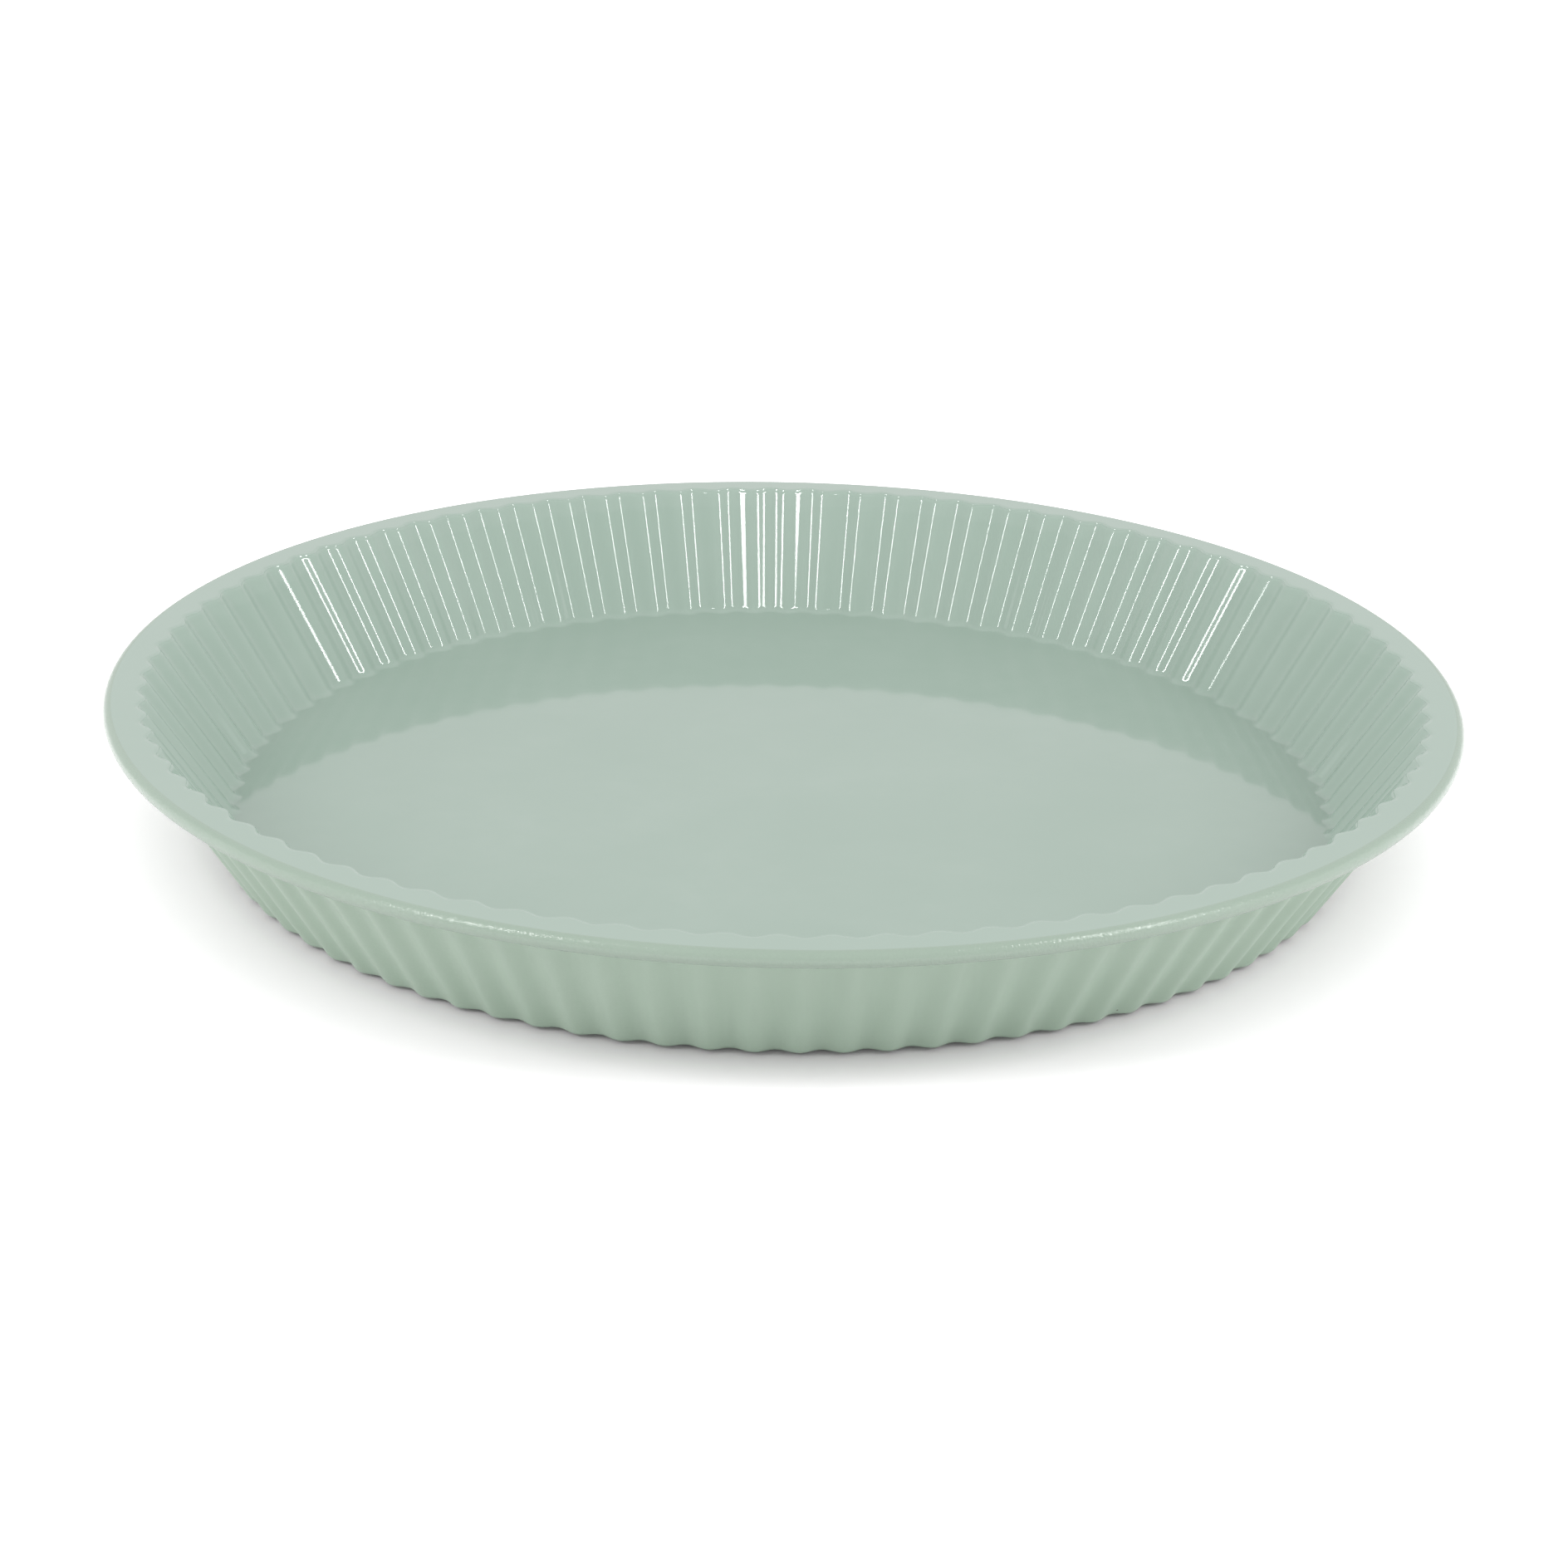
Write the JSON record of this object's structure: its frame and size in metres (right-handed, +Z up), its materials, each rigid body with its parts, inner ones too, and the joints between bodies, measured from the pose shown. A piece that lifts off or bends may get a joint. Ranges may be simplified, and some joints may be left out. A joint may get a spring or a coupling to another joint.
{
  "type": "quiche dish",
  "caption": "Shallow round baking dish with a fluted, leaning wall, a flat rim with a rounded edge and a plain foot ring.",
  "frame": {"origin": "centre of the foot ring, on the surface that the dish stands on", "axes": "+Z up out of the dish along its axis, -Y towards the viewer of the picture, +X to the viewer's right"},
  "size_m": [0.3, 0.3, 0.033],
  "materials": {
    "fired_clay": "unglazed, matt, fine-grained",
    "gloss_glaze": "pale sage green, high gloss",
    "satin_glaze": "pale sage green, satin with a fine orange-peel grain"
  },
  "bodies": {
    "root": {"stoneware_body": "fired_clay", "interior_glaze": "gloss_glaze", "exterior_glaze": "satin_glaze", "base_glaze": "satin_glaze"}
  },
  "joints": []
}
